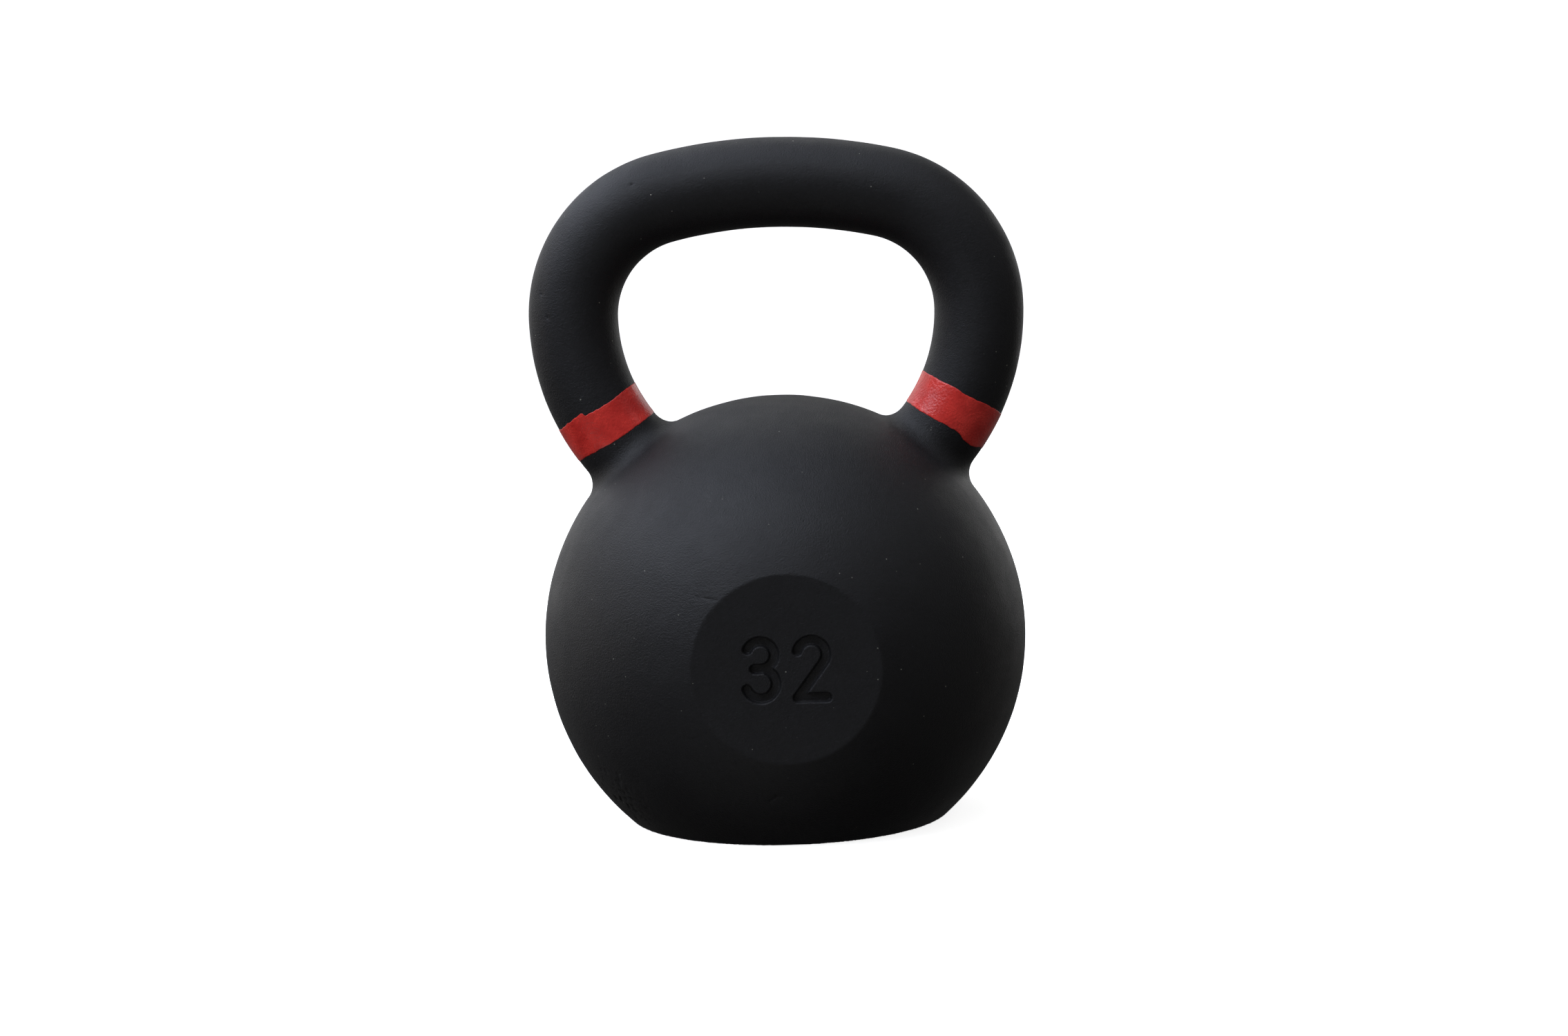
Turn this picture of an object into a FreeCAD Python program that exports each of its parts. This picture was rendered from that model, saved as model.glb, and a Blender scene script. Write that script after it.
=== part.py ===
import FreeCAD, Part
import math
import os

# Cast-iron kettlebell, in millimetres.
# Origin at the centre of the base face, +Z up, the grip along X, the weight figures facing -Y.

# Ball
ball_radius = 100.5
base_depth = 75.5          # ball centre down to the face it stands on
rim_round = 3.0            # ground edge around the base

# Handle: one round bar bent through three tangent arcs on each side
grip_diameter = 37.2
crown_height = 188.6       # middle of the bar at its highest, above the ball centre
crown_radius = 201.0       # flat bow across the top
crown_turn = 13.1          # degrees, from the middle out to where each corner starts
corner_radius = 49.8
horn_radius = 84.2         # gentle lean back in towards the ball
horn_end = 150.0           # degrees from straight up, buried in the ball
root_round = 8.4           # flare where each horn runs into the ball

# Flat on the front that carries the weight figures
pad_radius = 37.4
pad_edge_round = 3.0

# Weight figures, sunk into the flat: the mass in kilograms, in plain figures of one stroke each
marking = "32"
marking_depth = 2.0
figure_height = 26.0
figure_width = 14.7
figure_gap = 5.0
stroke_width = 3.4
upper_bowl = 0.24          # radius of the upper bowl of 3, as a share of its height

# Painted colour bands around the two horns
band_start = 114.9         # degrees from straight up, around the horn arc
band_width = 16.0
paint_thickness = 0.3

clearance = 1.0            # how far a cutting tool runs past the surface it cuts

X_AXIS = FreeCAD.Vector(1, 0, 0)
Y_AXIS = FreeCAD.Vector(0, 1, 0)
Z_AXIS = FreeCAD.Vector(0, 0, 1)

ball_centre = FreeCAD.Vector(0, 0, base_depth)
grip_radius = grip_diameter / 2
pad_offset = math.sqrt(ball_radius ** 2 - pad_radius ** 2)
base_radius = math.sqrt(ball_radius ** 2 - base_depth ** 2)


def on_arc(centre, radius, angle):
    """Point on an arc in the XZ plane, its angle measured from straight up towards +X."""
    turn = math.radians(angle)
    return centre + FreeCAD.Vector(radius * math.sin(turn), 0, radius * math.cos(turn))


def arc_centres():
    """Centres of the crown, corner and horn arcs on the +X side, each tangent to the last."""
    crown = ball_centre + Z_AXIS * (crown_height - crown_radius)
    corner = on_arc(crown, crown_radius - corner_radius, crown_turn)
    horn = corner - X_AXIS * (horn_radius - corner_radius)
    return crown, corner, horn


def bent_bar(centre, radius, start, end, bar_radius, bore_radius=0.0):
    """Round bar, or tube, along an arc in the XZ plane."""
    seat = on_arc(centre, radius, start)
    heading = on_arc(FreeCAD.Vector(), 1.0, start + 90)
    section = Part.Face(Part.Wire(Part.makeCircle(bar_radius, seat, heading)))
    if bore_radius:
        section = section.cut(Part.Face(Part.Wire(Part.makeCircle(bore_radius, seat, heading))))
    return section.revolve(centre, Y_AXIS, end - start)


def mirrored(shape):
    return shape.mirror(FreeCAD.Vector(), X_AXIS)


def make_ball():
    """Ball cut off flat at the base, its seam line at the back, clear of both horns."""
    ball = Part.makeSphere(ball_radius, ball_centre)
    ball.rotate(ball_centre, Z_AXIS, 90)
    below = Part.makeBox(3 * ball_radius, 3 * ball_radius, ball_radius,
                         FreeCAD.Vector(-1.5 * ball_radius, -1.5 * ball_radius, -ball_radius))
    return ball.cut(below)


def make_handle():
    crown, corner, horn = arc_centres()
    side = [bent_bar(corner, corner_radius, crown_turn, 90, grip_radius),
            bent_bar(horn, horn_radius, 90, horn_end, grip_radius)]
    top = bent_bar(crown, crown_radius, -crown_turn, crown_turn, grip_radius)
    return top.fuse(side + [mirrored(bar) for bar in side])


def edges_where(shape, wanted):
    return [edge for edge in shape.Edges if wanted(edge)]


def joins_ball_and_horn(edge):
    """The closed seam where a horn meets the ball lies on the ball, high up and well out."""
    middle = edge.valueAt((edge.FirstParameter + edge.LastParameter) / 2)
    reach = middle.distanceToPoint(ball_centre)
    return abs(reach - ball_radius) < 0.01 and middle.z > ball_centre.z and abs(middle.x) > 30


def is_base_rim(edge):
    box = edge.BoundBox
    return abs(box.ZMax) < 0.001 and edge.Length > 5 * base_radius


def is_pad_edge(edge):
    box = edge.BoundBox
    return abs(box.YMax + pad_offset) < 0.001 and edge.Length > 5 * pad_radius


def cut_pad(casting):
    """Flat face on the front, square to Y."""
    reach = 2 * ball_radius
    front = Part.makeBox(reach, ball_radius, reach,
                         FreeCAD.Vector(-ball_radius, -pad_offset - ball_radius, -clearance))
    return casting.cut(front)


def point(x, y):
    return FreeCAD.Vector(x, y, 0)


def polar(centre, radius, angle):
    turn = math.radians(angle)
    return centre + point(radius * math.cos(turn), radius * math.sin(turn))


def arc(centre, radius, start, end):
    """Arc in the XY plane, its angles in degrees, anticlockwise from +X."""
    middle = (start + end) / 2
    return Part.Arc(*[polar(centre, radius, a) for a in (start, middle, end)]).toShape()


def run(*points):
    """Straight edges from each point to the next."""
    return [Part.makeLine(a, b) for a, b in zip(points, points[1:])]


def stroke(edges):
    """Round-ended stroke along edges that form one open path with a bend in it."""
    return Part.Face(Part.Wire(edges).makeOffset2D(stroke_width / 2))


# Each figure is drawn along the middles of its strokes, w wide and h high from the lower left.

def figure_2(w, h):
    bowl = point(w / 2, h - w / 2)
    bend = -35
    return [stroke([arc(bowl, w / 2, 165, bend),
                    *run(polar(bowl, w / 2, bend), point(0, 0), point(w, 0))])]


def figure_3(w, h):
    upper, lower = upper_bowl * h, (0.5 - upper_bowl) * h
    waist = point(w - lower, 2 * lower)
    roof = arc(waist + point(0, upper), upper, 155, -90)
    return [stroke([roof, *run(waist, waist - point(0.4 * lower, 0))]),
            stroke([arc(waist - point(0, lower), lower, 60, -160)])]


figure_makers = {"3": figure_3, "2": figure_2}


def figure_face(figure):
    """One figure as a single face, its lower left corner at the origin."""
    faces = figure_makers[figure](figure_width - stroke_width, figure_height - stroke_width)
    face = faces[0].fuse(faces[1:]).removeSplitter() if len(faces) > 1 else faces[0]
    return face.translate(point(stroke_width / 2, stroke_width / 2))


def make_marking():
    """Solids of the figures, in the middle of the front flat and ready to be sunk into it."""
    pitch = figure_width + figure_gap
    left = -(len(marking) * pitch - figure_gap) / 2
    solids = [figure_face(figure).translate(point(left + i * pitch, -figure_height / 2))
              .extrude(Z_AXIS * (marking_depth + clearance)) for i, figure in enumerate(marking)]
    figures = Part.makeCompound(solids)
    figures.translate(Z_AXIS * -marking_depth)
    figures.rotate(FreeCAD.Vector(), X_AXIS, 90)
    figures.translate(FreeCAD.Vector(0, -pad_offset, base_depth))
    return figures


def make_casting():
    casting = make_ball().fuse(make_handle()).removeSplitter()
    casting = casting.makeFillet(root_round, edges_where(casting, joins_ball_and_horn))
    casting = casting.makeFillet(rim_round, edges_where(casting, is_base_rim))
    casting = cut_pad(casting)
    casting = casting.makeFillet(pad_edge_round, edges_where(casting, is_pad_edge))
    return casting.cut(make_marking())


def make_band():
    """Paint sleeve around the horn on the +X side."""
    horn = arc_centres()[2]
    end = band_start + math.degrees(band_width / horn_radius)
    return bent_bar(horn, horn_radius, band_start, end, grip_radius + paint_thickness, grip_radius)


def single_solid(name, shape):
    solids = shape.Solids
    if len(solids) != 1 or not solids[0].isValid():
        raise ValueError(f"{name}: {len(solids)} solids, or not valid")
    return solids[0]


def main():
    os.makedirs("parts", exist_ok=True)
    band = make_band()
    nodes = {"casting": make_casting(), "right_band": band, "left_band": mirrored(band)}
    for name, shape in nodes.items():
        solid = single_solid(name, shape)
        solid.exportStep(f"parts/{name}.step")
        box = solid.optimalBoundingBox()
        print(f"{name}: {solid.Volume / 1e6:.4f} litres, "
              f"{box.XLength:.1f} x {box.YLength:.1f} x {box.ZLength:.1f} mm")


main()
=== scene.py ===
from math import cos, pi, radians, sin, sqrt

import bmesh
import bpy
import numpy as np
from mathutils import Matrix, Vector


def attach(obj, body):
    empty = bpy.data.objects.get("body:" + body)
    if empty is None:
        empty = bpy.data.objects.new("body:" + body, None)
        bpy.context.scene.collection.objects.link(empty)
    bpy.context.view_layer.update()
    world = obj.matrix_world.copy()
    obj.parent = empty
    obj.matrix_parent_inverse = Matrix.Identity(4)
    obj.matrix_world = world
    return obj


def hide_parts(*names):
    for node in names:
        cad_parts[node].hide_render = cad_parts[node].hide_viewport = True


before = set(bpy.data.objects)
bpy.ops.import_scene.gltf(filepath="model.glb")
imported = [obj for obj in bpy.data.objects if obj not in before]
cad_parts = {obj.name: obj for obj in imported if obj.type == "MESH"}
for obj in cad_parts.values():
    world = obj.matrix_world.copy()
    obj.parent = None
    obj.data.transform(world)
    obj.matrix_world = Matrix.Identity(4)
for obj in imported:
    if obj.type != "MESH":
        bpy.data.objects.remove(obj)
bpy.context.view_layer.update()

mm = 0.001

# A 32 kg kettlebell, cast in one piece, with a colour band painted on each horn.
# Lengths are millimetres and angles degrees until a mesh is made.


casting = {
    "ballRadius": 100.5,
    "ballHeight": 75.5,  # middle of the ball above the floor
    "gripRadius": 18.6,
    "crownHeight": 188.6,  # middle of the handle above the middle of the ball
    "crownRadius": 201.0,
    "crownTurn": 13.1,
    "cornerRadius": 49.8,
    "hornRadius": 84.2,
    "hornEnd": 150.0,
    "rootRound": 8.4,
    "rimRound": 3.0,
    "flatRadius": 37.4,
    "flatRound": 3.0,
    "gridSize": 1.9,  # of the mesh, before the front and the faults are refined
    "swells": [(26.0, 0.08, 11), (11.0, 0.06, 12), (5.5, 0.04, 13)],  # size, height, seed
    "groundHeight": 0.2,  # the swells start here, above the ground base, and fade in over the next
    "groundFade": 2.5,
    "baseSnap": 0.15,  # points lower than this stand on the floor
}

marking = {
    "figures": "32",  # the mass in kilograms
    "depth": 2.0,
    "height": 26.0,
    "width": 14.7,
    "gap": 5.0,
    "stroke": 3.4,
    "upperBowl": 0.24,
    "wall": 0.7,  # width of the sloping side of a stroke
    "lip": 0.1,  # how far the sides' middles lie outside the outline
}

ballMiddle = np.array([0.0, 0.0, casting["ballHeight"]])
flatDepth = sqrt(casting["ballRadius"] ** 2 - casting["flatRadius"] ** 2)


def gripArcs():
    # the handle's middle line to one side: arc middle across and up, radius, start and end from straight up
    crown, turn = casting["crownRadius"], casting["crownTurn"]
    corner, horn = casting["cornerRadius"], casting["hornRadius"]
    crownUp = casting["ballHeight"] + casting["crownHeight"] - crown
    across = (crown - corner) * sin(radians(turn))
    up = crownUp + (crown - corner) * cos(radians(turn))
    return [(0.0, crownUp, crown, 0.0, turn), (across, up, corner, turn, 90.0),
            (across + corner - horn, up, horn, 90.0, casting["hornEnd"])]


def gripReach(points):
    # distance from the handle's surface, and the direction straight out of it
    side = np.where(points[:, 0] < 0, -1.0, 1.0)
    x, y, z = points[:, 0] * side, points[:, 1], points[:, 2]
    best = np.full(len(points), 1e9)
    out = np.zeros((len(points), 3))
    for across, up, radius, start, end in gripArcs():
        turn = np.clip(np.arctan2(x - across, z - up), radians(start), radians(end))
        away = np.stack([x - across - radius * np.sin(turn), y, z - up - radius * np.cos(turn)], 1)
        reach = np.linalg.norm(away, axis=1)
        nearer = reach < best
        best[nearer] = reach[nearer]
        out[nearer] = away[nearer] / np.maximum(reach[nearer, None], 1e-6)
    out[:, 0] *= side
    return best - casting["gripRadius"], out


def blended(a, b, cosTurn, radius):
    # two surfaces joined by the fillet of a rolling ball; cosTurn is between their outward directions
    u, v = radius - a, radius - b
    between = (u > v * cosTurn) & (v > u * cosTurn)
    square = (u * u + v * v - 2 * u * v * cosTurn) / np.maximum(1 - cosTurn * cosTurn, 1e-6)
    return np.where(between, radius - np.sqrt(np.maximum(square, 0)), np.minimum(a, b))


def castingReach(points):
    # distance outside the casting's surface, its marking apart
    away = points - ballMiddle
    reach = np.linalg.norm(away, axis=1)
    ballOut = away / np.maximum(reach[:, None], 1e-6)
    grip, gripOut = gripReach(points)
    whole = blended(reach - casting["ballRadius"], grip, (ballOut * gripOut).sum(1), casting["rootRound"])
    whole = -blended(-whole, points[:, 2], -ballOut[:, 2], casting["rimRound"])
    return -blended(-whole, points[:, 1] + flatDepth, -ballOut[:, 1], casting["flatRound"])


def outward(points):
    step = 0.02
    slope = np.stack([castingReach(points + shift) - castingReach(points - shift)
                      for shift in np.eye(3) * step], 1) / (2 * step)
    return slope / np.maximum(np.linalg.norm(slope, axis=1), 1e-6)[:, None]


def settle(points, height=0.0, rounds=5):
    # moves points straight in or out until they lie at that height above the casting
    for _ in range(rounds):
        points = points - outward(points) * (castingReach(points) - height)[:, None]
    return points


def waves(points, size, seed, count=40):
    # soft random swells about that size across, mostly between -1 and 1
    shortest, longest = 1.2, 2.4  # wavelengths, as shares of the size
    draw = np.random.default_rng(seed)
    direction = draw.normal(size=(count, 3))
    direction /= np.linalg.norm(direction, axis=1)[:, None]
    pitch = 2 * pi / (size * draw.uniform(shortest, longest, count))
    phase = draw.uniform(0, 2 * pi, count)
    total = sum(np.cos(points @ (direction[i] * pitch[i]) + phase[i]) for i in range(count))
    return np.clip(total / sqrt(count / 2) / 2, -1, 1)


def relief(points):
    # how far the foundry sand's unevenness lies below the true surface; the base stays ground flat
    low = sum(height * (0.5 + 0.5 * waves(points, size, seed)) for size, height, seed in casting["swells"])
    return -low * np.clip((points[:, 2] - casting["groundHeight"]) / casting["groundFade"], 0, 1)


def arcPoints(middle, radius, start, end):
    step, fewest = 9, 6  # degrees between points, and points in the shortest arc
    turns = np.radians(np.linspace(start, end, max(fewest, int(abs(end - start) / step))))
    return [(middle[0] + radius * cos(t), middle[1] + radius * sin(t)) for t in turns]


def figurePaths(figure, w, h):
    # plain figures of one stroke each, along the middles of the strokes, from the lower left
    if figure == "2":
        return [arcPoints((w / 2, h - w / 2), w / 2, 165, -35) + [(0, 0), (w, 0)]]
    upper, lower = marking["upperBowl"] * h, (0.5 - marking["upperBowl"]) * h  # 3
    middle, waist = w - lower, 2 * lower
    return [arcPoints((middle, waist + upper), upper, 155, -90) + [(middle - 0.4 * lower, waist)],
            arcPoints((middle, lower), lower, 60, -160)]


def strokeSegments():
    segments = []
    stroke, width, height = marking["stroke"], marking["width"], marking["height"]
    pitch = width + marking["gap"]
    left = -(len(marking["figures"]) * pitch - marking["gap"]) / 2
    for index, figure in enumerate(marking["figures"]):
        corner = np.array([left + index * pitch + stroke / 2, (stroke - height) / 2])
        for path in figurePaths(figure, width - stroke, height - stroke):
            spots = np.array(path) + corner
            segments += list(zip(spots[:-1], spots[1:]))
    return segments


def fromFlatMiddle(points):
    return np.hypot(points[:, 0], points[:, 2] - casting["ballHeight"])


def markingReach(points):
    # distance outside the figures' outline, seen from the front
    spots = points[:, [0, 2]] - [0.0, casting["ballHeight"]]
    reach = np.full(len(points), 1e9)
    for start, end in strokeSegments():
        along = end - start
        share = np.clip((spots - start) @ along / max(along @ along, 1e-9), 0, 1)
        reach = np.minimum(reach, np.linalg.norm(spots - start - share[:, None] * along, axis=1))
    return reach - marking["stroke"] / 2


def sinkMarking(points):
    # presses the figures into the flat, with sloping sides
    nearFlat = 1.5
    front = (points[:, 1] < -flatDepth + nearFlat) & (fromFlatMiddle(points) < casting["flatRadius"])
    share = np.clip(0.5 - (markingReach(points[front]) - marking["lip"]) / marking["wall"], 0, 1)
    points[front, 1] += marking["depth"] * share * share * (3 - 2 * share)
    return points


# small faults of the casting: scars are ends, width and depth; pits are place, width and depth
scars = [
    ((-34.6, 104.8), (-26.5, 103.5), 0.6, 0.15),
    ((-39.0, 47.9), (-34.1, 49.9), 0.6, 0.1),
    ((-7.9, 21.9), (-4.4, 24.2), 0.7, 0.2),
    ((-5.2, 22.6), (-2.4, 24.9), 0.5, 0.16),
]
pits = [
    ((-57.4, -16.1, 264.8), 1.1, 0.45),
    ((-96.2, -13.3, 221.1), 1.0, 0.4),
    ((-93.8, -15.9, 211.5), 1.2, 0.45),
]
faultFalloff = 1.7  # how quickly a scar or pit fades beyond its width
roughPatch = {
    "place": (-66.0, -44.0, 18.0),
    "reach": 15.0,
    "grain": 2.1,
    "depth": 0.6,
    "open": 0.18,  # the lower, the more of the patch is pitted
    "fade": 1.3,
    "seed": 31,
}


def faults(points):
    # depth of each scar, pit and the rough patch
    deep = np.zeros(len(points))
    spots = points[:, [0, 2]]
    for start, end, width, depth in scars:
        start, along = np.array(start), np.subtract(end, start)
        share = np.clip((spots - start) @ along / (along @ along), 0, 1)
        reach = np.linalg.norm(spots - start - share[:, None] * along, axis=1)
        reach = np.where(points[:, 1] < 0, reach, 1e9)
        deep = np.maximum(deep, depth * np.exp(-(reach / width * faultFalloff) ** 2))
    for place, width, depth in pits:
        reach = np.linalg.norm(points - np.array(place), axis=1)
        deep = np.maximum(deep, depth * np.exp(-(reach / width * faultFalloff) ** 2))
    reach = np.linalg.norm(points - np.array(roughPatch["place"]), axis=1) / roughPatch["reach"]
    near = reach < 1.6  # beyond this the patch has faded out
    holes = np.clip(waves(points[near], roughPatch["grain"], roughPatch["seed"]) - roughPatch["open"], 0, 1)
    deep[near] += roughPatch["depth"] * holes * np.exp(-reach[near] ** 2 * roughPatch["fade"])
    return deep


def meshPoints(mesh):
    spots = np.empty(len(mesh.vertices) * 3)
    mesh.vertices.foreach_get("co", spots)
    return spots.reshape(-1, 3) / mm


def placePoints(mesh, points):
    mesh.vertices.foreach_set("co", (points * mm).ravel())
    mesh.update()


roughMesh = {"ballSegments": 96, "ballRings": 60, "barSides": 40, "barStep": 3.0}


def castingSeed():
    # a rough ball and a rough handle, overlapping, for the remesh to join
    bm = bmesh.new()
    bmesh.ops.create_uvsphere(bm, u_segments=roughMesh["ballSegments"], v_segments=roughMesh["ballRings"],
                              radius=casting["ballRadius"] * mm)
    bmesh.ops.translate(bm, verts=bm.verts, vec=Vector(ballMiddle) * mm)
    for place, out in (((0, 0, 0), (0, 0, -1)), ((0, -flatDepth * mm, 0), (0, -1, 0))):
        cut = bmesh.ops.bisect_plane(bm, geom=bm.verts[:] + bm.edges[:] + bm.faces[:], plane_co=place,
                                     plane_no=out, clear_outer=True)
        rim = [piece for piece in cut["geom_cut"] if isinstance(piece, bmesh.types.BMEdge)]
        bmesh.ops.holes_fill(bm, edges=rim)
    line = []
    for across, up, radius, start, end in gripArcs():
        for turn in np.radians(np.arange(start, end, roughMesh["barStep"])):
            line.append((across + radius * sin(turn), up + radius * cos(turn), turn))
    line = [(-x, z, -turn) for x, z, turn in line[:0:-1]] + line
    sides, rings = roughMesh["barSides"], []
    for x, z, turn in line:
        ring = []
        for step in range(sides):
            around = 2 * pi * step / sides
            out = casting["gripRadius"] * cos(around)
            ring.append(bm.verts.new(Vector((x + out * sin(turn), casting["gripRadius"] * sin(around),
                                             z + out * cos(turn))) * mm))
        rings.append(ring)
    for one, other in zip(rings, rings[1:]):
        for step in range(sides):
            after = (step + 1) % sides
            bm.faces.new((one[step], one[after], other[after], other[step]))
    bm.faces.new(rings[0][::-1])
    bm.faces.new(rings[-1])
    bmesh.ops.recalc_face_normals(bm, faces=bm.faces)
    mesh = bpy.data.meshes.new("castingSeed")
    bm.to_mesh(mesh)
    bm.free()
    return mesh


def remeshed(mesh, size):
    rough = bpy.data.objects.new("rough", mesh)
    bpy.context.collection.objects.link(rough)
    remesh = rough.modifiers.new("remesh", "REMESH")
    remesh.mode, remesh.voxel_size = "VOXEL", size * mm
    bpy.context.view_layer.update()
    joined = bpy.data.meshes.new_from_object(rough.evaluated_get(bpy.context.evaluated_depsgraph_get()))
    bpy.data.objects.remove(rough)
    return joined


def refine(mesh, near, cuts):
    # subdivides the faces whose middles near() picks
    bm = bmesh.new()
    bm.from_mesh(mesh)
    bm.faces.ensure_lookup_table()
    middles = np.array([face.calc_center_median() for face in bm.faces]) / mm
    edges = {edge for index in np.flatnonzero(near(middles)) for edge in bm.faces[index].edges}
    bmesh.ops.subdivide_edges(bm, edges=list(edges), cuts=cuts, use_grid_fill=True)
    bm.to_mesh(mesh)
    bm.free()


detail = {
    "frontDepth": 80.0,  # the flat lies further forward than this
    "flatMargin": 2.5,
    "flatEdge": 1.5,
    "figureEdge": 1.0,
    "rimInside": 60.0,
    "slightFault": 0.01,
    "clearFault": 0.04,
}


def onFlat(points):
    inside = fromFlatMiddle(points) < casting["flatRadius"] + detail["flatMargin"]
    return (points[:, 1] < -detail["frontDepth"]) & inside


def nearFaults(points):
    # where the mesh is made finer once: the flat, the rim it stands on, and the faults
    outside = np.hypot(points[:, 0], points[:, 1]) > detail["rimInside"]
    baseRim = (points[:, 2] < casting["rimRound"]) & outside
    return onFlat(points) | baseRim | (faults(points) > detail["slightFault"])


def needsDetail(points):
    # where it is made finer again: the edges of the flat and its figures, and the deeper faults
    flatEdge = np.abs(fromFlatMiddle(points) - casting["flatRadius"]) < detail["flatEdge"]
    figureEdge = np.abs(markingReach(points)) < detail["figureEdge"]
    return (onFlat(points) & (flatEdge | figureEdge)) | (faults(points) > detail["clearFault"])


def addPiece(name, mesh, material, nodes):
    piece = bpy.data.objects.new(name, mesh)
    bpy.context.collection.objects.link(piece)
    mesh.materials.clear()
    mesh.materials.append(material)
    mesh.shade_smooth()
    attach(piece, "root")
    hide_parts(*nodes)
    return piece


def makeCasting():
    mesh = remeshed(castingSeed(), casting["gridSize"])
    points = settle(meshPoints(mesh))
    placePoints(mesh, points)
    refine(mesh, nearFaults, 1)
    placePoints(mesh, settle(meshPoints(mesh)))
    refine(mesh, needsDetail, 2)
    points = settle(meshPoints(mesh))
    points = settle(points, relief(points) - faults(points), 3)
    points[points[:, 2] < casting["baseSnap"], 2] = 0.0
    placePoints(mesh, sinkMarking(points))
    bm = bmesh.new()
    bm.from_mesh(mesh)
    bmesh.ops.triangulate(bm, faces=[face for face in bm.faces if len(face.verts) > 4])
    bm.to_mesh(mesh)
    bm.free()
    return mesh


bands = {
    "film": 0.13,
    "columns": 240,
    "rows": 18,
    "ragged": [(1.6, 0.10), (5.0, 0.12)],  # size, and how far the edge wanders in degrees along the horn
    # painted edges as turn round the horn (0 front, 90 outer side) and turn along it
    "left": {
        "upper": [(-77, 114.6), (-58, 114.8), (-42, 115.3), (-25, 116.0), (-9, 116.3), (4, 116.2),
                  (14.4, 116.3), (17, 115.2), (37, 115.9), (71, 116.8), (110, 116.6), (150, 115.7),
                  (190, 115.2), (240, 114.8)],
        "lower": [(-76, 127.5), (-53, 127.3), (-32, 127.0), (-13, 126.8), (6, 126.3), (29, 125.7), (47, 125.3),
                  (63, 125.3), (100, 125.5), (150, 126.1), (200, 126.6), (240, 127.1)],
    },
    "right": {
        "upper": [(-81, 113.1), (-53, 113.3), (-28, 113.7), (-8, 114.2), (12, 114.7), (29, 114.8), (41, 115.0),
                  (61, 115.5), (110, 115.8), (150, 115.2), (190, 114.3), (240, 113.5)],
        "lower": [(-78, 125.7), (-46, 125.5), (-22, 125.1), (-2, 124.7), (14, 124.6), (22, 125.0),
                  (29, 125.5), (45, 125.7), (53, 125.4), (61, 125.0), (110, 124.8), (160, 125.3),
                  (210, 125.7), (250, 125.7)],
    },
}


def paintedEdge(marks, around, seed):
    # the edge's turn along the horn at each turn round it, with a slightly ragged line
    at, value = zip(*marks)
    line = np.interp(around, list(at) + [at[0] + 360], list(value) + [value[0]], period=360)
    turns = np.radians(around)
    ring = np.stack([np.cos(turns), np.sin(turns), 0 * around], 1) * casting["gripRadius"]
    for step, (size, wander) in enumerate(bands["ragged"]):
        line = line + wander * waves(ring, size, seed + step)
    return line


def makeBand(side, seed):
    direction = -1.0 if side == "left" else 1.0
    columns, rows = bands["columns"], bands["rows"]
    around = np.arange(columns) * 360.0 / columns
    upper = paintedEdge(bands[side]["upper"], around, seed)
    lower = paintedEdge(bands[side]["lower"], around, seed + 5)
    # across the film: share of the way down, and height above the casting
    # the last two rows close it inside the casting
    share = [0.0, 0.004, 0.016, 0.04, *np.linspace(0.08, 0.92, rows), 0.96, 0.984, 0.996, 1.0, 0.75, 0.25]
    lift = [-0.1, 0.45, 0.8, 1.0, *[1.0] * rows, 1.0, 0.8, 0.45, -0.1, -1.6, -1.6]
    middleAcross, middleUp, radius = gripArcs()[2][:3]
    grid = []
    for part in share:
        turn, barTurn = np.radians(upper + part * (lower - upper)), np.radians(around)
        out = radius + casting["gripRadius"] * np.sin(barTurn)
        grid.append(np.stack([direction * (middleAcross + out * np.sin(turn)),
                              -casting["gripRadius"] * np.cos(barTurn),
                              middleUp + out * np.cos(turn)], 1))
    points = settle(np.concatenate(grid), 0.0, 4)
    points = settle(points, relief(points) + np.repeat(lift, columns) * bands["film"], 4)
    count = len(share)
    faces = [(i * columns + j, i * columns + (j + 1) % columns,
              (i + 1) % count * columns + (j + 1) % columns, (i + 1) % count * columns + j)
             for i in range(count) for j in range(columns)]
    mesh = bpy.data.meshes.new(side + "Band")
    mesh.from_pydata((points * mm).tolist(), [], faces)
    bm = bmesh.new()
    bm.from_mesh(mesh)
    bmesh.ops.recalc_face_normals(bm, faces=bm.faces)
    bm.to_mesh(mesh)
    bm.free()
    return mesh


def fromHex(code):
    # sRGB hex to linear
    shares = [int(code[i:i + 2], 16) / 255 for i in (1, 3, 5)]
    return tuple(s / 12.92 if s <= 0.04045 else ((s + 0.055) / 1.055) ** 2.4 for s in shares) + (1.0,)


def perMetre(size):
    # a noise scale for a pattern of that size in millimetres
    return 1 / (size * mm)


def addNode(tree, kind, settings=None, links=None):
    made = tree.nodes.new(kind)
    for name, value in (settings or {}).items():
        if isinstance(name, str) and hasattr(made, name):
            setattr(made, name, value)
        else:
            made.inputs[name].default_value = value
    for name, source in (links or {}).items():
        tree.links.new(source, made.inputs[name])
    return made


def newMaterial(name):
    material = bpy.data.materials.new(name)
    material.use_nodes = True
    material.node_tree.nodes.clear()
    return material, material.node_tree


powderCoat = {
    "colour": "#131315",
    "worn": "#18181a",
    "sheen": 0.29,  # share of a smooth coat's mirror reflection that the pebbled skin keeps
    "roughness": (0.46, 0.56),
    "patches": 18.0,  # where the coat lies a little thicker or thinner
    "grain": 0.75,  # the real skin's pebbles are about 0.3, too fine to show, so both grains are drawn coarser
    "fineGrain": 0.36,
    "grainHeight": 0.22,
    "specks": "#a8a89c",
    "speckSpacing": 4.5,
    "speckReach": (0.07, 0.035),  # outer and inner edge of a speck or pore, as shares of the spacing
    "speckShare": 0.28,  # of the cells
    "poreShare": 0.3,
    "poreDepth": 1.5,  # as a share of the grain's height
}


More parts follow.
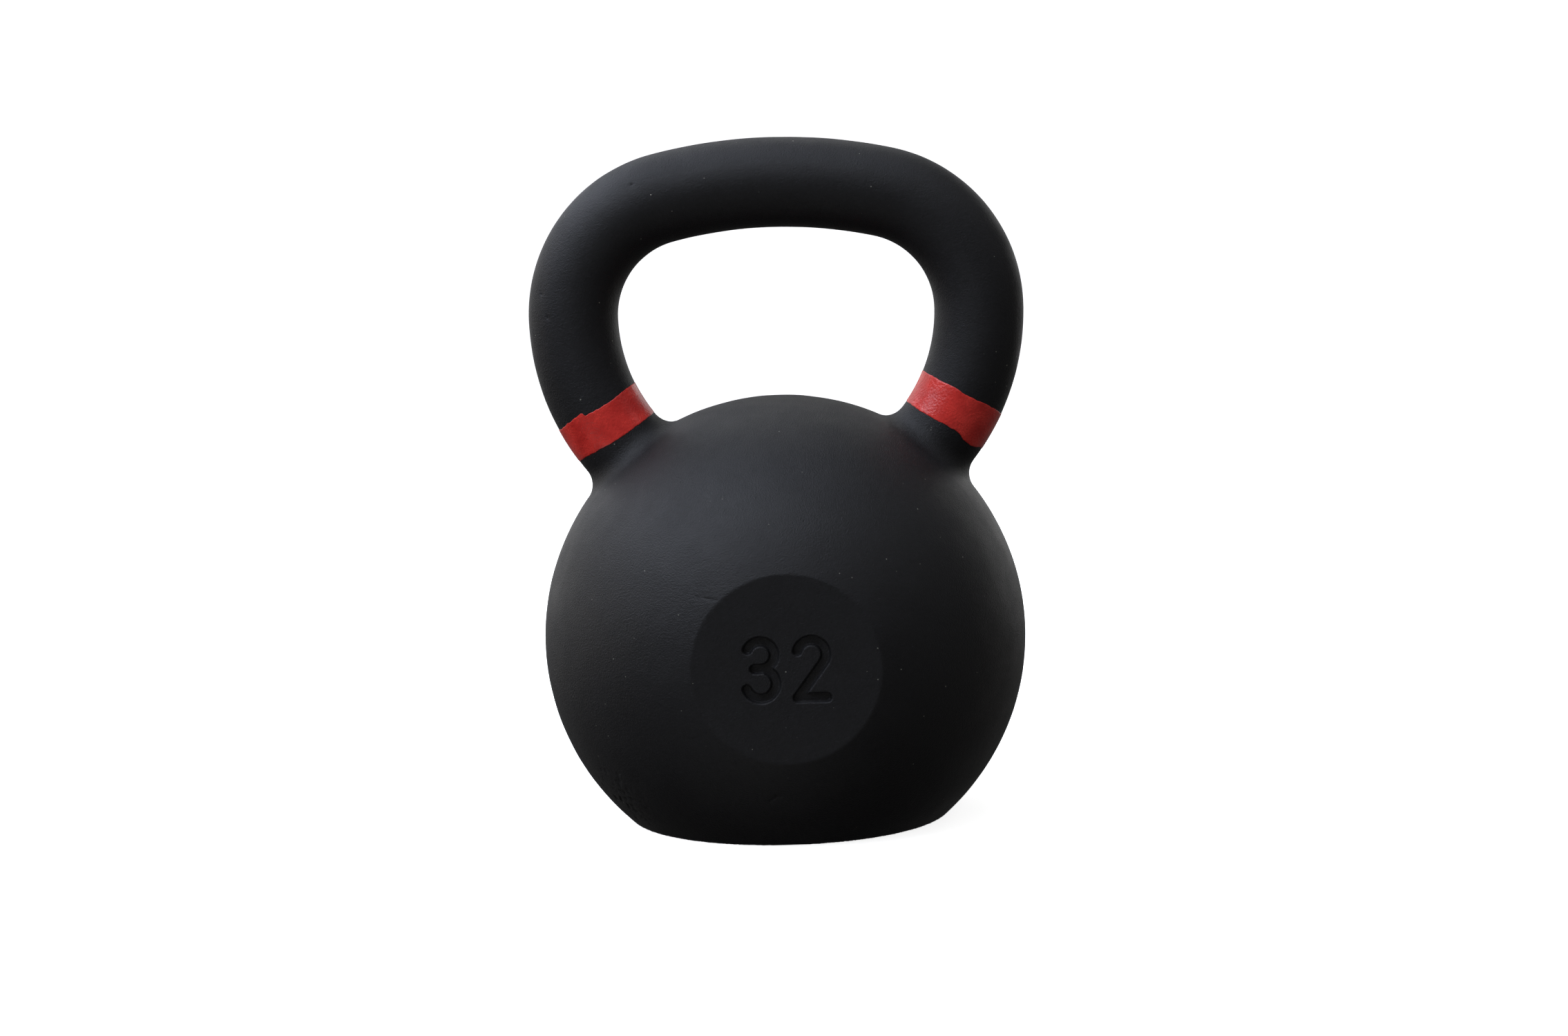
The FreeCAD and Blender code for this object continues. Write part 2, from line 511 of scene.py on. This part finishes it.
def blackPowderCoat():
    # matt black powder coat, sprayed and baked over sand-cast iron: a deep neutral black
    # whose fine pebbled skin spreads every highlight into a soft glow
    material, tree = newMaterial("blackPowderCoatOnCastIron")
    place = addNode(tree, "ShaderNodeTexCoord").outputs["Object"]
    patches = addNode(tree, "ShaderNodeTexNoise", {"Scale": perMetre(powderCoat["patches"]), "Detail": 4.0,
                                                   "Roughness": 0.6}, {"Vector": place})
    grain = addNode(tree, "ShaderNodeTexNoise", {"Scale": perMetre(powderCoat["grain"]), "Detail": 2.0,
                                                 "Roughness": 0.6}, {"Vector": place})
    fine = addNode(tree, "ShaderNodeTexNoise", {"Scale": perMetre(powderCoat["fineGrain"]), "Detail": 1.0},
                   {"Vector": place})
    shade = addNode(tree, "ShaderNodeMix", {"data_type": "RGBA", 6: fromHex(powderCoat["colour"]),
                                            7: fromHex(powderCoat["worn"])}, {"Factor": patches.outputs["Fac"]})
    # pale dust specks and small open pores share one field of scattered cells: some hold a speck, some a pore
    cells = addNode(tree, "ShaderNodeTexVoronoi", {"Scale": perMetre(powderCoat["speckSpacing"])},
                    {"Vector": place})
    draw = addNode(tree, "ShaderNodeSeparateColor", None, {"Color": cells.outputs["Color"]})
    outer, inner = powderCoat["speckReach"]
    dot = addNode(tree, "ShaderNodeMapRange", {"From Min": outer, "From Max": inner},
                  {"Value": cells.outputs["Distance"]})
    holdsSpeck = addNode(tree, "ShaderNodeMapRange", {"From Min": 1 - powderCoat["speckShare"], "From Max": 1.0,
                                                      "To Max": 0.8}, {"Value": draw.outputs["Red"]})
    speck = addNode(tree, "ShaderNodeMath", {"operation": "MULTIPLY"},
                    {0: dot.outputs["Result"], 1: holdsSpeck.outputs["Result"]})
    holdsPore = addNode(tree, "ShaderNodeMapRange", {"From Min": powderCoat["poreShare"], "From Max": 0.0,
                                                     "To Max": powderCoat["poreDepth"]},
                        {"Value": draw.outputs["Red"]})
    pore = addNode(tree, "ShaderNodeMath", {"operation": "MULTIPLY"},
                   {0: dot.outputs["Result"], 1: holdsPore.outputs["Result"]})
    colour = addNode(tree, "ShaderNodeMix", {"data_type": "RGBA", 7: fromHex(powderCoat["specks"])},
                     {"Factor": speck.outputs[0], 6: shade.outputs[2]})
    low, high = powderCoat["roughness"]
    gloss = addNode(tree, "ShaderNodeMapRange", {"From Min": 0.3, "From Max": 0.7,
                                                 "To Min": low, "To Max": high},
                    {"Value": patches.outputs["Fac"]})
    pebbles = addNode(tree, "ShaderNodeMath", {"operation": "MULTIPLY_ADD", 1: 0.8},
                      {0: fine.outputs["Fac"], 2: grain.outputs["Fac"]})
    skin = addNode(tree, "ShaderNodeMath", {"operation": "SUBTRACT"},
                   {0: pebbles.outputs[0], 1: pore.outputs[0]})
    bump = addNode(tree, "ShaderNodeBump", {"Strength": 1.0, "Distance": powderCoat["grainHeight"] * mm},
                   {"Height": skin.outputs[0]})
    shader = addNode(tree, "ShaderNodeBsdfPrincipled", {"IOR": 1.5, "Specular IOR Level": powderCoat["sheen"]},
                     {"Base Color": colour.outputs[2], "Roughness": gloss.outputs["Result"],
                      "Normal": bump.outputs["Normal"]})
    addNode(tree, "ShaderNodeOutputMaterial", None, {"Surface": shader.outputs["BSDF"]})
    return material


enamel = {
    "colour": "#df3a32",
    "thin": "#c02620",
    "roughness": (0.22, 0.34),
    "clouds": 9.0,  # where the brush left it thicker or thinner
    "peel": 1.0,
    "peelHeight": 0.2,
}


def redEnamel():
    # red enamel brushed over the coat: semi-gloss, so its orange peel shows as a speckled highlight
    material, tree = newMaterial("redEnamelPaint")
    place = addNode(tree, "ShaderNodeTexCoord").outputs["Object"]
    clouds = addNode(tree, "ShaderNodeTexNoise", {"Scale": perMetre(enamel["clouds"]), "Detail": 3.0},
                     {"Vector": place})
    cover = addNode(tree, "ShaderNodeMapRange", {"From Min": 0.35, "From Max": 0.65},
                    {"Value": clouds.outputs["Fac"]})
    peel = addNode(tree, "ShaderNodeTexNoise", {"Scale": perMetre(enamel["peel"]), "Detail": 2.0},
                   {"Vector": place})
    colour = addNode(tree, "ShaderNodeMix", {"data_type": "RGBA", 6: fromHex(enamel["colour"]),
                                             7: fromHex(enamel["thin"])}, {"Factor": cover.outputs["Result"]})
    low, high = enamel["roughness"]
    gloss = addNode(tree, "ShaderNodeMapRange", {"From Min": 0.3, "From Max": 0.7,
                                                 "To Min": low, "To Max": high},
                    {"Value": clouds.outputs["Fac"]})
    bump = addNode(tree, "ShaderNodeBump", {"Strength": 1.0, "Distance": enamel["peelHeight"] * mm},
                   {"Height": peel.outputs["Fac"]})
    shader = addNode(tree, "ShaderNodeBsdfPrincipled", {"IOR": 1.5},
                     {"Base Color": colour.outputs[2], "Roughness": gloss.outputs["Result"],
                      "Normal": bump.outputs["Normal"]})
    addNode(tree, "ShaderNodeOutputMaterial", None, {"Surface": shader.outputs["BSDF"]})
    return material


studio = {
    "floorColour": "#ffffff",
    "floorGlow": 0.84,
    "floorReach": 2.2,  # metres, flat part
    "floorBend": 1.2,
    "wallHeight": 4.5,
    "aim": (0.0, 0.0, 0.13),
    "reach": 1.8,  # metres from the object to each softbox
    "size": 1.0,
    "softboxes": [  # name, turn from the front (left is negative), rise, watts, colour
        ("keyFront", -45, 45, 15.4, "#e8efff"),
        ("keySide", -85, 45, 13.6, "#e8efff"),
        ("keyBack", -130, 45, 10.2, "#e8efff"),
        ("overhead", 0, 80, 11.4, "#e8efff"),
        ("frontFill", 0, 45, 2.2, "#ffffff"),
        ("rightFill", 85, 45, 1.7, "#ffffff"),
        ("behindTop", 180, 45, 3.4, "#ffffff"),
        ("lowLeft", -110, 10, 4.2, "#fff8f2"),
        ("floorBounce", -20, -43, 3.3, "#ffffff"),  # what a pale floor throws back up
        ("behindLeft", -150, 10, 2.9, "#ffffff"),
        ("behindRight", 150, 10, 3.4, "#ffffff"),
    ],
    "roomColour": "#fffefb",
    "roomGlow": (0.0, 0.14),  # towards the ground, and everywhere else
    "roomRise": (-0.85, -0.25),  # the direction's height at which each is reached
}


def makeSweep():
    # white floor that curves up into a wall all round, so that every side of the iron is seen against white
    material, tree = newMaterial("whiteStudioSweep")
    shader = addNode(tree, "ShaderNodeBsdfPrincipled", {"Roughness": 0.9, "Specular IOR Level": 0.1,
                                                        "Emission Strength": studio["floorGlow"]})
    shader.inputs["Base Color"].default_value = fromHex(studio["floorColour"])
    shader.inputs["Emission Color"].default_value = fromHex(studio["floorColour"])
    addNode(tree, "ShaderNodeOutputMaterial", None, {"Surface": shader.outputs["BSDF"]})
    flat, bend, top = studio["floorReach"], studio["floorBend"], studio["wallHeight"]
    count, bendStep = 72, 6  # columns round the room, and degrees between the rows of the bend
    turns = np.radians(np.arange(0, 91, bendStep))
    line = [(flat / 2, 0.0)] + [(flat + bend * sin(t), bend - bend * cos(t)) for t in turns]
    line.append((flat + bend, top))
    turns = np.arange(count) * 2 * pi / count
    mesh = bpy.data.meshes.new("studioSweep")
    mesh.from_pydata([(out * cos(t), out * sin(t), up) for out, up in line for t in turns], [],
                     [tuple(range(count))] + [
                         (i * count + j, (i + 1) * count + j, (i + 1) * count + (j + 1) % count,
                          i * count + (j + 1) % count) for i in range(len(line) - 1) for j in range(count)])
    mesh.shade_smooth()
    mesh.materials.append(material)
    sweep = bpy.data.objects.new("studioSweep", mesh)
    bpy.context.collection.objects.link(sweep)
    # it neither lights nor shades the iron, whose underside stays dark as on an open stand
    sweep.visible_diffuse = sweep.visible_glossy = sweep.visible_shadow = False


def aimed(place, target, up=Vector((0, 0, 1))):
    # a lamp's or camera's turn: -Z at the target
    back = (Vector(place) - Vector(target)).normalized()
    right = up.cross(back).normalized()
    return Matrix((right, back.cross(right), back)).transposed().to_4x4()


def makeLights():
    aim = Vector(studio["aim"])
    for name, turn, rise, watts, colour in studio["softboxes"]:
        out = Vector((sin(radians(turn)) * cos(radians(rise)), -cos(radians(turn)) * cos(radians(rise)),
                      sin(radians(rise))))
        lamp = bpy.data.lights.new(name, "AREA")
        lamp.shape, lamp.size = "SQUARE", studio["size"]
        lamp.energy, lamp.color = watts, fromHex(colour)[:3]
        box = bpy.data.objects.new(name, lamp)
        place = aim + out * studio["reach"]
        box.matrix_world = Matrix.Translation(place) @ aimed(place, aim)
        box.visible_camera = False
        bpy.context.collection.objects.link(box)
    world = bpy.data.worlds.new("studioRoom")
    bpy.context.scene.world = world
    world.use_nodes = True
    tree = world.node_tree
    tree.nodes.clear()
    # an even dim room that falls off towards the ground
    direction = addNode(tree, "ShaderNodeTexCoord").outputs["Generated"]
    split = addNode(tree, "ShaderNodeSeparateXYZ", None, {"Vector": direction})
    low, high = studio["roomGlow"]
    start, full = studio["roomRise"]
    glow = addNode(tree, "ShaderNodeMapRange", {"From Min": start, "From Max": full,
                                                "To Min": low, "To Max": high}, {"Value": split.outputs["Z"]})
    background = addNode(tree, "ShaderNodeBackground", {"Color": fromHex(studio["roomColour"])},
                         {"Strength": glow.outputs["Result"]})
    addNode(tree, "ShaderNodeOutputWorld", None, {"Surface": background.outputs["Background"]})
    bpy.context.scene.view_settings.view_transform = "Standard"


viewpoint = {
    "distance": 1256.25,  # from the middle of the ball
    "rise": 8.593,
    "tilt": 2.222,
    "roll": 1.651,
    "swing": 0.027,
    "lens": 68.68,
    "sensor": 36.0,
    "clipStart": 0.05,
}


def makeCamera():
    rise, roll, tilt, swing = (radians(viewpoint[name]) for name in ("rise", "roll", "tilt", "swing"))
    target = Vector(ballMiddle) * mm
    place = target + Vector((0, -cos(rise), sin(rise))) * viewpoint["distance"] * mm
    turned = aimed(place, target) @ Matrix.Rotation(-roll, 4, "Z") @ Matrix.Rotation(tilt, 4, "X")
    turned = turned @ Matrix.Rotation(swing, 4, "Y")
    data = bpy.data.cameras.new("camera")
    data.lens, data.sensor_width = viewpoint["lens"], viewpoint["sensor"]
    data.clip_start = viewpoint["clipStart"]
    camera = bpy.data.objects.new("camera", data)
    camera.matrix_world = Matrix.Translation(place) @ turned
    bpy.context.collection.objects.link(camera)
    bpy.context.scene.camera = camera


makeCamera()
makeLights()
makeSweep()
print("studio: camera, lights and floor are in place")

blackCoat, redPaint = blackPowderCoat(), redEnamel()
print("finishes: black powder coat and red enamel")

ironBody = addPiece("ironCasting", makeCasting(), blackCoat, ["casting"])
print("casting:", len(ironBody.data.polygons), "faces,",
      sum(len(face.vertices) - 2 for face in ironBody.data.polygons), "triangles")

for side, seed in (("left", 51), ("right", 71)):
    band = addPiece(side + "PaintBand", makeBand(side, seed), redPaint, [side + "_band"])
    print(side, "band:", len(band.data.polygons), "faces")

bpy.context.view_layer.update()
